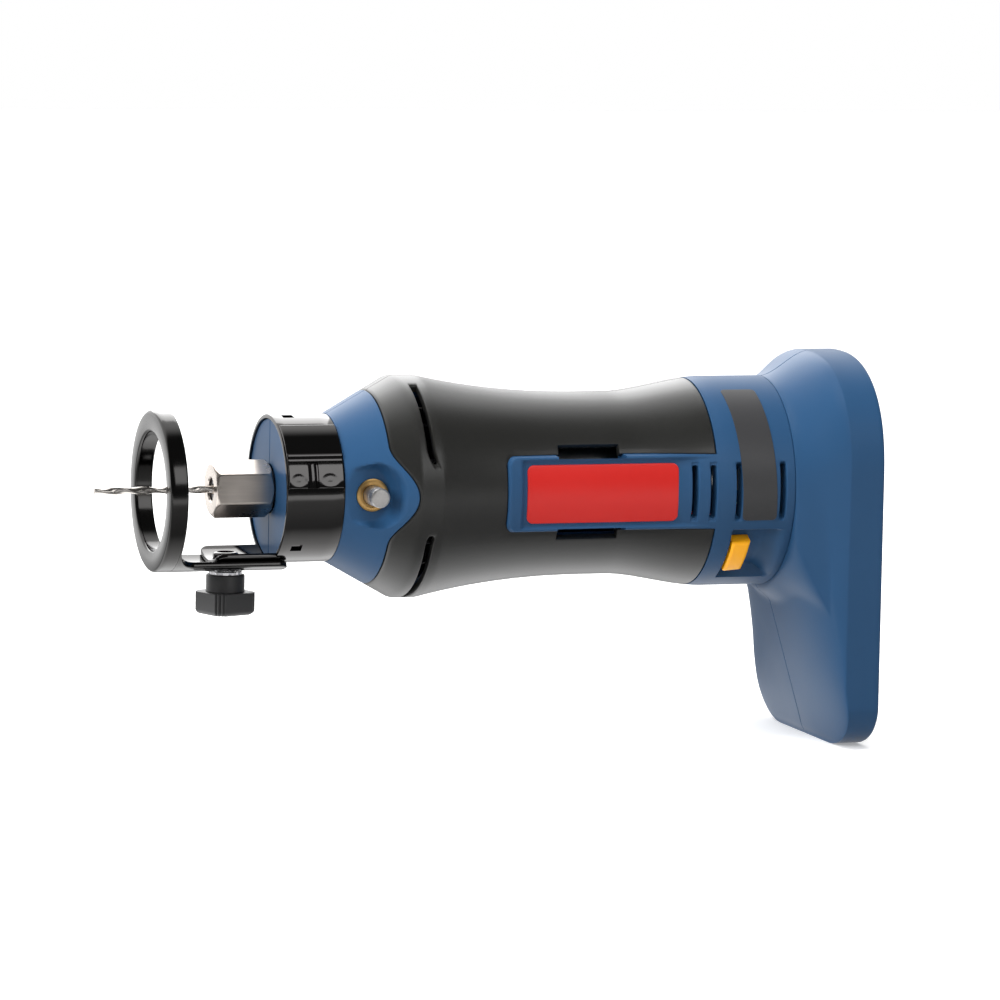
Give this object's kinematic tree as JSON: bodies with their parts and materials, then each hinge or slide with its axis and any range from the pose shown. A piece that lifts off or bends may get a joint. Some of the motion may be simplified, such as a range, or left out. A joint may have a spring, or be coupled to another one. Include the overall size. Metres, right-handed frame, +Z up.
{
  "type": "cordless drywall cut-out tool",
  "caption": "Cordless spiral-bit cut-out tool with a rubber grip, flared battery foot, collet with hex nut, spindle lock pin, slide switch and a sliding ring depth guide.",
  "frame": {"origin": "middle of the tool's plan outline at the level of the lowest edge of the battery rim", "axes": "+X along the spindle from the bit to the battery rim, +Z up from the battery foot, -Y towards the side with the lock pin and the switch"},
  "size_m": [0.2344, 0.077, 0.118],
  "materials": {
    "body_plastic": "satin moulded blue plastic",
    "grip_rubber": "fine-textured charcoal overmould",
    "socket_plastic": "black moulded plastic",
    "contact_brass": "bright",
    "plate_red": "gloss red plate, bare",
    "label_dark": "blank dark film",
    "screw_steel": "dark zinc",
    "bearing_steel": "ground",
    "spindle_steel": "turned",
    "nut_nickel": "nickel plate",
    "bit_steel": "ground",
    "guide_black": "black chrome",
    "knob_black": "moulded black plastic",
    "bush_brass": "turned",
    "switch_yellow": "amber moulded plastic",
    "motor_steel": "zinc plate",
    "magnet_ferrite": "sintered",
    "cap_nylon": "moulded nylon",
    "winding_copper": "enamelled copper",
    "brush_carbon": "carbon",
    "lead_red": "insulated lead",
    "lead_black": "insulated lead"
  },
  "bodies": {
    "housing": {"body_shell_left": "body_plastic", "body_shell_right": "body_plastic", "grip_left": "grip_rubber", "grip_right": "grip_rubber", "battery_housing_left": "body_plastic", "battery_housing_right": "body_plastic", "battery_socket": "socket_plastic", "battery_terminals": "contact_brass", "name_plate": "plate_red", "far_plate": "plate_red", "label_patch": "label_dark", "housing_screws": "screw_steel", "front_bearing_outer": "bearing_steel", "rear_bearing_outer": "bearing_steel", "clamp_collar": "guide_black", "lock_bush": "bush_brass", "switch_case": "socket_plastic", "motor_can": "motor_steel", "motor_magnets": "magnet_ferrite", "motor_end_cap": "cap_nylon", "motor_bushes": "bush_brass", "carbon_brushes": "brush_carbon", "brush_holders": "contact_brass", "brush_springs": "spindle_steel", "lead_switch": "lead_red", "lead_motor": "lead_red", "lead_return": "lead_black", "lock_spring": "spindle_steel"},
    "rotor": {"spindle": "spindle_steel", "spindle_circlip": "screw_steel", "front_bearing_inner": "bearing_steel", "rear_bearing_inner": "bearing_steel", "motor_shaft": "spindle_steel", "armature_core": "motor_steel", "armature_winding": "winding_copper", "commutator": "winding_copper", "cooling_fan": "socket_plastic"},
    "front_cage": {"front_bearing_balls": "bearing_steel", "front_bearing_cage": "contact_brass"},
    "rear_cage": {"rear_bearing_balls": "bearing_steel", "rear_bearing_cage": "contact_brass"},
    "collet": {"collet": "spindle_steel"},
    "nut": {"collet_nut": "nut_nickel"},
    "bit": {"cutting_bit": "bit_steel"},
    "lock": {"lock_pin": "spindle_steel", "lock_clip": "screw_steel"},
    "switch": {"switch_button": "switch_yellow"},
    "guide": {"depth_guide": "guide_black"},
    "washer": {"star_washer": "screw_steel"},
    "knob": {"guide_knob": "knob_black", "knob_bolt": "screw_steel"}
  },
  "joints": [
    {"name": "spindle_spin", "type": "hinge", "parent": "housing", "child": "rotor", "pos_m": [-0.0638, 0, 0.0786], "axis": [1, 0, 0], "continuous": true},
    {"name": "front_cage_orbit", "type": "hinge", "parent": "housing", "child": "front_cage", "pos_m": [-0.0638, 0, 0.0786], "axis": [1, 0, 0], "continuous": true},
    {"name": "rear_cage_orbit", "type": "hinge", "parent": "housing", "child": "rear_cage", "pos_m": [-0.0638, 0, 0.0786], "axis": [1, 0, 0], "continuous": true},
    {"name": "collet_draw", "type": "slide", "parent": "rotor", "child": "collet", "axis": [-1, 0, 0], "range_m": [0, 0.00187]},
    {"name": "nut_turn", "type": "hinge", "parent": "collet", "child": "nut", "pos_m": [-0.0638, 0, 0.0786], "axis": [-1, 0, 0], "range_deg": [0, 540.1]},
    {"name": "bit_pull", "type": "slide", "parent": "collet", "child": "bit", "axis": [-1, 0, 0], "range_m": [0, 0.024]},
    {"name": "lock_press", "type": "slide", "parent": "housing", "child": "lock", "axis": [0, 1, 0], "range_m": [0, 0.004], "stiffness_N_per_m": 500, "springref_m": -0.002, "deforming": ["lock_spring"]},
    {"name": "switch_slide", "type": "slide", "parent": "housing", "child": "switch", "axis": [1, 0, 0], "range_m": [0, 0.005]},
    {"name": "guide_slide", "type": "slide", "parent": "housing", "child": "guide", "axis": [1, 0, 0], "range_m": [-0.01, 0.009]},
    {"name": "knob_draw", "type": "slide", "parent": "housing", "child": "washer", "axis": [0, 0, -1], "range_m": [0, 0.0008]},
    {"name": "knob_turn", "type": "hinge", "parent": "washer", "child": "knob", "pos_m": [-0.0769, 0, 0.0486], "axis": [0, 0, -1], "range_deg": [0, 360.1]}
  ],
  "couplings": [
    {"joint": "front_cage_orbit", "follows": "spindle_spin", "ratio": 0.381},
    {"joint": "rear_cage_orbit", "follows": "spindle_spin", "ratio": 0.36778},
    {"joint": "nut_turn", "follows": "collet_draw", "rad_per_m": 5026.5},
    {"joint": "knob_turn", "follows": "knob_draw", "rad_per_m": 7854}
  ]
}
